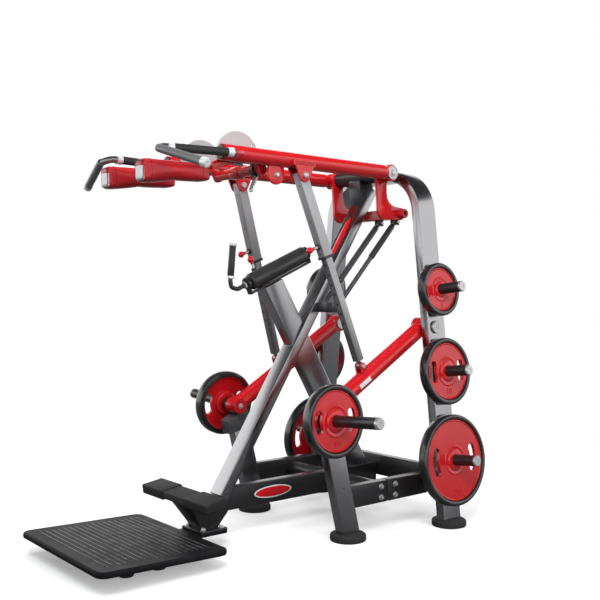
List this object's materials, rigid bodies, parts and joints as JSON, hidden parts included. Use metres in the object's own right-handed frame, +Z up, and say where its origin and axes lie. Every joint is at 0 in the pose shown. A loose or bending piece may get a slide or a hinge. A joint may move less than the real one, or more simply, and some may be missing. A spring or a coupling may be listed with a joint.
{
  "type": "standing leg press machine",
  "caption": "Plate-loaded standing leg press: shoulder pads on a hinged red arm, linked by struts to weight levers on an arched steel frame.",
  "frame": {"origin": "on the floor under the middle of the machine's length and width", "axes": "+X from the foot platform towards the uprights, +Y to the left of a user who stands on the platform facing the mast, +Z up"},
  "size_m": [1.9308, 1.3758, 1.765],
  "materials": {
    "frame_grey": "satin metallic anthracite powder coat",
    "frame_black": "satin black powder coat",
    "red_paint": "gloss red powder coat",
    "bright_steel": "zinc plated",
    "polished_rod": "polished chrome",
    "silver_tube": "satin silver",
    "dark_tube": "dark satin",
    "disc_grey": "pale grey satin paint",
    "black_rubber": "matte moulded rubber",
    "platform_black": "ribbed black rubber over steel",
    "pad_red": "smooth vinyl",
    "knob_red": "gloss",
    "gaiter_black": "black ribbed bellows",
    "plate_iron": "black rubber rim with red painted face"
  },
  "bodies": {
    "base": {"spine_beam": "frame_black", "front_mast": "frame_grey", "rear_brace": "frame_grey", "rear_arch": "frame_grey", "rear_cross_beam": "frame_black", "base_cross_tube": "frame_black", "front_leg_left": "frame_grey", "front_leg_right": "frame_grey", "side_rails": "frame_black", "frame_bolts": "bright_steel", "foot_pads": "black_rubber", "lever_bumpers": "black_rubber", "storage_pegs": "frame_black", "lower_axles": "bright_steel", "pivot_housing": "frame_grey", "mast_head": "frame_grey", "spring_anchor": "frame_grey", "step_bar": "frame_black", "step_sleeves": "black_rubber", "step_bracket": "frame_black", "foot_platform": "platform_black", "roller_bracket": "frame_black"},
    "upper_arm": {"upper_lever_left": "red_paint", "upper_lever_right": "red_paint", "yoke": "red_paint", "pivot_axle": "bright_steel", "strut_bolts": "bright_steel", "handle_left": "frame_black", "handle_right": "frame_black", "handle_grips": "black_rubber", "handle_collars": "silver_tube", "selector_discs": "disc_grey"},
    "pad_carriage": {"pad_carrier": "red_paint", "shoulder_pad_left": "pad_red", "shoulder_pad_right": "pad_red"},
    "latch": {"latch_rod": "polished_rod"},
    "spring_barrels": {"spring_barrels": "gaiter_black"},
    "spring_rods": {"spring_rods": "gaiter_black"},
    "roller": {"roller": "black_rubber"},
    "crank": {"crank_bar": "frame_black", "crank_grip": "black_rubber"},
    "crank_pin": {"crank_pin": "knob_red"},
    "strut_left": {"strut_sleeve_left": "silver_tube", "strut_tube_left": "dark_tube"},
    "strut_pin_left": {"strut_pin_left": "knob_red"},
    "weight_lever_left": {"weight_lever_left": "red_paint", "loading_peg_left": "frame_black"},
    "plate_small_left": {"plate_small_left": "plate_iron"},
    "plate_medium_left": {"plate_medium_left": "plate_iron"},
    "plate_large_left": {"plate_large_left": "plate_iron"},
    "lever_plate_left": {"lever_plate_left": "plate_iron"},
    "strut_right": {"strut_sleeve_right": "silver_tube", "strut_tube_right": "dark_tube"},
    "strut_pin_right": {"strut_pin_right": "knob_red"},
    "weight_lever_right": {"weight_lever_right": "red_paint", "loading_peg_right": "frame_black"},
    "plate_small_right": {"plate_small_right": "plate_iron"},
    "plate_medium_right": {"plate_medium_right": "plate_iron"},
    "plate_large_right": {"plate_large_right": "plate_iron"},
    "lever_plate_right": {"lever_plate_right": "plate_iron"}
  },
  "joints": [
    {"name": "press_pivot", "type": "hinge", "parent": "base", "child": "upper_arm", "pos_m": [0.6234, 0, 1.655], "axis": [0, 1, 0], "range_deg": [0, 22]},
    {"name": "strut_left_pivot", "type": "hinge", "parent": "upper_arm", "child": "strut_left", "pos_m": [0.0544, 0.227, 1.591], "axis": [0, 1, 0], "range_deg": [-19, 0]},
    {"name": "weight_lever_left_pivot", "type": "hinge", "parent": "base", "child": "weight_lever_left", "pos_m": [0.7434, 0.305, 0.922], "axis": [0, 1, 0], "range_deg": [0, 27.5]},
    {"name": "strut_pin_left_pull", "type": "slide", "parent": "strut_left", "child": "strut_pin_left", "axis": [-0.9472, 0, -0.3207], "range_m": [0, 0.012], "stiffness_N_per_m": 900, "springref_m": -0.012},
    {"name": "strut_right_pivot", "type": "hinge", "parent": "upper_arm", "child": "strut_right", "pos_m": [0.0544, -0.227, 1.591], "axis": [0, 1, 0], "range_deg": [-19, 0]},
    {"name": "weight_lever_right_pivot", "type": "hinge", "parent": "base", "child": "weight_lever_right", "pos_m": [0.7434, -0.305, 0.922], "axis": [0, 1, 0], "range_deg": [0, 27.5]},
    {"name": "strut_pin_right_pull", "type": "slide", "parent": "strut_right", "child": "strut_pin_right", "axis": [-0.9472, 0, -0.3207], "range_m": [0, 0.012], "stiffness_N_per_m": 900, "springref_m": -0.012},
    {"name": "spring_barrel_pivot", "type": "hinge", "parent": "upper_arm", "child": "spring_barrels", "pos_m": [0.7434, -0.07, 1.432], "axis": [0, 1, 0], "range_deg": [-27.6, 0]},
    {"name": "spring_rod_pivot", "type": "hinge", "parent": "base", "child": "spring_rods", "pos_m": [0.3584, -0.07, 1.015], "axis": [0, 1, 0], "range_deg": [-5.4, 0]},
    {"name": "pad_tilt", "type": "hinge", "parent": "upper_arm", "child": "pad_carriage", "pos_m": [-0.2166, 0, 1.655], "axis": [0, 1, 0], "range_deg": [-6, 10]},
    {"name": "latch_turn", "type": "hinge", "parent": "pad_carriage", "child": "latch", "pos_m": [-0.1136, 0, 1.613], "axis": [0, 1, 0], "range_deg": [0, 12], "stiffness_Nm_per_rad": 4, "springref_deg": -17.19},
    {"name": "roller_spin", "type": "hinge", "parent": "base", "child": "roller", "pos_m": [-0.0586, 0, 1.126], "axis": [0.9171, 0, 0.3987], "continuous": true},
    {"name": "crank_swing", "type": "hinge", "parent": "base", "child": "crank", "pos_m": [-0.0586, 0, 1.126], "axis": [0.9171, 0, 0.3987], "range_deg": [-25, 25]},
    {"name": "crank_pin_pull", "type": "slide", "parent": "base", "child": "crank_pin", "axis": [-0.3987, 0, 0.9171], "range_m": [0, 0.01], "stiffness_N_per_m": 900, "springref_m": -0.01},
    {"name": "plate_small_left_slide", "type": "slide", "parent": "base", "child": "plate_small_left", "axis": [0, 0.9938, 0.1109], "range_m": [0, 0.2]},
    {"name": "plate_medium_left_slide", "type": "slide", "parent": "base", "child": "plate_medium_left", "axis": [0, 0.9938, 0.1109], "range_m": [0, 0.2]},
    {"name": "plate_large_left_slide", "type": "slide", "parent": "base", "child": "plate_large_left", "axis": [0, 0.9938, 0.1109], "range_m": [0, 0.2]},
    {"name": "lever_plate_left_slide", "type": "slide", "parent": "weight_lever_left", "child": "lever_plate_left", "axis": [0, 0.9971, 0.0767], "range_m": [0, 0.32]},
    {"name": "plate_small_right_slide", "type": "slide", "parent": "base", "child": "plate_small_right", "axis": [0, -0.9938, 0.1109], "range_m": [0, 0.2]},
    {"name": "plate_medium_right_slide", "type": "slide", "parent": "base", "child": "plate_medium_right", "axis": [0, -0.9938, 0.1109], "range_m": [0, 0.2]},
    {"name": "plate_large_right_slide", "type": "slide", "parent": "base", "child": "plate_large_right", "axis": [0, -0.9938, 0.1109], "range_m": [0, 0.2]},
    {"name": "lever_plate_right_slide", "type": "slide", "parent": "weight_lever_right", "child": "lever_plate_right", "axis": [0, -0.9971, 0.0767], "range_m": [0, 0.32]}
  ],
  "couplings": [
    {"joint": "weight_lever_left_pivot", "follows": "press_pivot", "ratio": 1.2359},
    {"joint": "strut_left_pivot", "follows": "press_pivot", "ratio": -0.84482},
    {"joint": "weight_lever_right_pivot", "follows": "press_pivot", "ratio": 1.2359},
    {"joint": "strut_right_pivot", "follows": "press_pivot", "ratio": -0.84482},
    {"joint": "spring_barrel_pivot", "follows": "press_pivot", "ratio": -1.238},
    {"joint": "spring_rod_pivot", "follows": "press_pivot", "ratio": -0.238}
  ]
}
